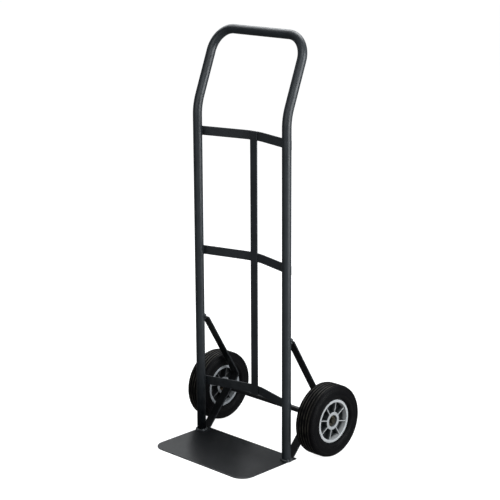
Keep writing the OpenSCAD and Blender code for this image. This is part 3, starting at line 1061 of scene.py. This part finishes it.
def soft_ring(inner, outer, low, high, edge):
    """Closed section of a washer with rounded edges, as (radius, out)."""
    corners = [(outer, high), (inner, high), (inner, low), (outer, low)]
    points = []
    for i, (radius, out) in enumerate(corners):
        cx = radius - edge if radius == outer else radius + edge
        cy = out - edge if out == high else out + edge
        for step in range(4):
            turn = math.pi / 2 * (i + step / 3)
            points.append((cx + edge * math.cos(turn), cy + edge * math.sin(turn)))
    return points


def bushings(side):
    for end, word in ((1, "outer"), (-1, "inner")):
        sleeve_end = 0.5 * MM
        flange_out = RECESS_FLOOR + FLANGE_T
        edge = 0.35 * MM
        profile = [
            (BUSHING_BORE_R, sleeve_end + edge), (BUSHING_BORE_R, flange_out - edge),
            (BUSHING_BORE_R + edge, flange_out), (FLANGE_R - edge, flange_out),
            (FLANGE_R, flange_out - edge), (FLANGE_R, RECESS_FLOOR + edge),
            (FLANGE_R - edge, RECESS_FLOOR), (BORE_R, RECESS_FLOOR),
            (BORE_R, sleeve_end + edge), (BORE_R - edge, sleeve_end),
            (BUSHING_BORE_R + edge, sleeve_end),
        ]
        mesh = Mesh()
        revolve(mesh, side, [(r, end * out) for r, out in profile], ROUND_FACETS)
        node = word + "_bushing_" + side
        mesh.piece(node + "_turned", "wheel_" + side, BRONZE, [node])


def washer(side):
    mesh = Mesh()
    profile = soft_ring(AXLE_R, WASHER_R, WASHER_OUT, WASHER_OUT + WASHER_T, 0.35 * MM)
    revolve(mesh, side, profile, ROUND_FACETS, wear_and_painted_light=[WASHER_STAIN] * len(profile))
    node = "axle_washer_" + side
    mesh.piece(node + "_pressed", "frame", ZINC, [node])


def spacer(side):
    """Short tube between the brace and the inner bushing."""
    low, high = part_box("axle_spacer_" + side)
    near, far = sorted((abs(low.x) - WHEEL_X, abs(high.x) - WHEEL_X))
    mesh = Mesh()
    revolve(mesh, side, soft_ring(AXLE_R, BORE_R, near, far, 0.4 * MM), TUBE_FACETS)
    node = "axle_spacer_" + side
    mesh.piece(node + "_tube", "frame", ZINC, [node])


def axle():
    """Round bar through both wheels, with turned chamfers."""
    end = WHEEL_X + AXLE_END
    profile = [
        (0.3 * AXLE_R, end - 0.15 * MM), (AXLE_R - 2.4 * MM, end - 0.05 * MM),
        (AXLE_R - 1.2 * MM, end), (AXLE_R - 0.2 * MM, end - 1.0 * MM),
        (AXLE_R, end - 1.5 * MM), (AXLE_R, end - 4 * MM),
        (AXLE_R, end - 30 * MM), (AXLE_R, end - 60 * MM), (AXLE_R, 0.3 * end),
    ]
    profile += [(radius, -x) for radius, x in reversed(profile)]
    rings = [
        [Vector((x, AXLE_Y + a, AXLE_Z + b)) for a, b in circle(radius, AXLE_FACETS)]
        for radius, x in profile
    ]
    mesh = Mesh()
    made = mesh.skin(rings)
    mesh.close(made)
    steel = axle_steel("axle_steel", AXLE_PAINT, BARE_FROM)
    mesh.piece("axle_bar", "frame", steel, ["axle"])


def cotter_pin(side):
    """A folded half-round wire: an eye, a shank through the axle and two bent legs."""
    turns = [math.pi * i / 10 for i in range(11)]
    half_round = [(PIN_WIRE_R * math.sin(t), PIN_WIRE_R * math.cos(t)) for t in turns]
    neck, top, leg_y = AXLE_R + 0.5 * MM, AXLE_R + 4.0 * MM, AXLE_R + 0.1 * MM
    mesh = Mesh()
    for way in (1, -1):
        corners = [
            (0, top), (way * 1.5 * MM, top), (way * 1.5 * MM, neck + 1.3 * MM), (0, neck),
            (0, -leg_y), (way * 5.2 * MM, -leg_y - 0.6 * MM),
        ]
        radii = [0.9 * MM, 0.8 * MM, 0.8 * MM, 0.5 * MM]
        path = rounded_path([(a, b, 0) for a, b in corners], radii, math.radians(15))
        ways = tangents(path)
        rings = []
        for point, ahead in zip(path, ways):
            outward = ahead.cross(Z_AXIS) * -way
            rings.append([point + outward * a + Z_AXIS * b for a, b in half_round])
        placed = [[wheel_point(side, p.x, p.y, PIN_OUT + p.z) for p in ring] for ring in rings]
        made = mesh.skin(placed)
        mesh.close(made)
    node = "cotter_pin_" + side
    mesh.piece(node + "_split", "frame", ZINC, [node])


# ---- floor, light and camera

AIM_Z = 567.85 * MM
AIM_RIGHT = 22.72 * MM
CAMERA_AZIMUTH = math.radians(44.2)
CAMERA_ELEVATION = math.radians(14.52)
CAMERA_ROLL = math.radians(-0.29)
CAMERA_DISTANCE = 4.1023
CAMERA_LENS = 108.5
SENSOR = 36.0
FLOOR_REACH = 40.0
FLOOR_GLOW = 0.94
BACKGROUND_GLOW = 1.05
LIGHT_TINT = (0.95, 0.98, 1.0)
# The room's soft light grows from the left to the right between these two directions.
AMBIENT_LEFT = 0.10
AMBIENT_RIGHT = 0.42
AMBIENT_SPAN = (-0.6, 0.8)


def camera():
    """A camera aimed at the middle of the truck from the given angles, rolled a little."""
    azimuth, elevation = CAMERA_AZIMUTH, CAMERA_ELEVATION
    back = Vector((
        math.sin(azimuth) * math.cos(elevation),
        -math.cos(azimuth) * math.cos(elevation),
        math.sin(elevation),
    ))
    right = Vector((math.cos(azimuth), math.sin(azimuth), 0))
    up = back.cross(right)
    place = Vector((0, 0, AIM_Z)) + right * AIM_RIGHT + back * CAMERA_DISTANCE
    rolled_right = right * math.cos(CAMERA_ROLL) + up * math.sin(CAMERA_ROLL)
    rolled_up = back.cross(rolled_right)
    data = bpy.data.cameras.new("camera")
    data.lens = CAMERA_LENS
    data.sensor_width = SENSOR
    made = add_object("camera", data)
    turn = Matrix((rolled_right, rolled_up, back)).transposed()
    made.matrix_world = Matrix.Translation(place) @ turn.to_4x4()
    bpy.context.scene.camera = made


def floor():
    """A pale glowing floor that the truck neither mirrors nor takes light from."""
    shader = Shader("pale_floor", 0.9, specular=0.0)
    cloud = shader.span(shader.noise(0.5, 2), 0.3, 0.7)
    shader.colour(shader.mix(cloud, *FLOOR_TONES))
    shader.feed(shader.bsdf.inputs["Emission Color"], (1, 1, 1, 1))
    shader.feed(shader.bsdf.inputs["Emission Strength"], FLOOR_GLOW)
    data = bpy.data.meshes.new("studio_floor")
    quarters = ((-1, -1), (1, -1), (1, 1), (-1, 1))
    corners = [(x * FLOOR_REACH, y * FLOOR_REACH, 0) for x, y in quarters]
    data.from_pydata(corners, [], [(0, 1, 2, 3)])
    data.materials.append(shader.material)
    made = add_object("studio_floor", data)
    made.visible_glossy = False
    made.visible_diffuse = False


def softbox(name, azimuth, elevation, distance, width, height, radiance, aim=(0, 0, 0.6)):
    """An area light that faces aim. Azimuth 0 is in front, and 90 is on the +X side."""
    a, e = math.radians(azimuth), math.radians(elevation)
    away = Vector((math.sin(a) * math.cos(e), -math.cos(a) * math.cos(e), math.sin(e)))
    data = bpy.data.lights.new(name, "AREA")
    data.shape = "RECTANGLE"
    data.size = width
    data.size_y = height
    data.energy = radiance * math.pi * width * height
    data.color = LIGHT_TINT
    made = add_object(name, data)
    made.location = Vector(aim) + away * distance
    made.rotation_euler = away.to_track_quat("Z", "Y").to_euler()


def studio():
    """White behind everything for the camera, and soft light from a few large boxes."""
    scene = bpy.context.scene
    scene.view_settings.view_transform = "Standard"
    world = bpy.data.worlds.new("studio")
    world.use_nodes = True
    scene.world = world
    nodes, links = world.node_tree.nodes, world.node_tree.links
    nodes.clear()
    seen = nodes.new("ShaderNodeBackground")
    seen.inputs["Color"].default_value = (1, 1, 1, 1)
    seen.inputs["Strength"].default_value = BACKGROUND_GLOW
    ambient = nodes.new("ShaderNodeBackground")
    ambient.inputs["Color"].default_value = (*LIGHT_TINT, 1)
    way = nodes.new("ShaderNodeTexCoord")
    split = nodes.new("ShaderNodeSeparateXYZ")
    links.new(way.outputs["Generated"], split.inputs[0])
    side = nodes.new("ShaderNodeMapRange")
    for socket, number in zip(side.inputs, (0, *AMBIENT_SPAN, AMBIENT_LEFT, AMBIENT_RIGHT)):
        socket.default_value = number
    links.new(split.outputs["X"], side.inputs[0])
    links.new(side.outputs["Result"], ambient.inputs["Strength"])
    path = nodes.new("ShaderNodeLightPath")
    mix = nodes.new("ShaderNodeMixShader")
    out = nodes.new("ShaderNodeOutputWorld")
    links.new(path.outputs["Is Camera Ray"], mix.inputs[0])
    links.new(ambient.outputs[0], mix.inputs[1])
    links.new(seen.outputs[0], mix.inputs[2])
    links.new(mix.outputs[0], out.inputs["Surface"])
    softbox("key", 105, 9, 3.0, 2.0, 2.6, 6.2, aim=(0, 0, 0.75))
    softbox("top_back", 205, 58, 2.8, 2.4, 1.8, 5.0)
    softbox("backdrop", 243, 30, 4.0, 2.6, 2.4, 1.3)
    softbox("front", 8, 18, 4.0, 3.2, 2.4, 1.25)
    softbox("upper_left", 262, 42, 3.5, 2.4, 1.8, 1.9)
    softbox("above_camera", 50, 46, 3.5, 1.8, 1.8, 2.6)


# ---- the whole truck

camera()
floor()
studio()
frame_tube()
toe_plate()
crossbars()
centre_strap()
for which in SIDES:
    axle_brace(which)
    spacer(which)
    washer(which)
    cotter_pin(which)
    hub(which)
    tyre(which)
    bushings(which)
axle()
frame_welds()
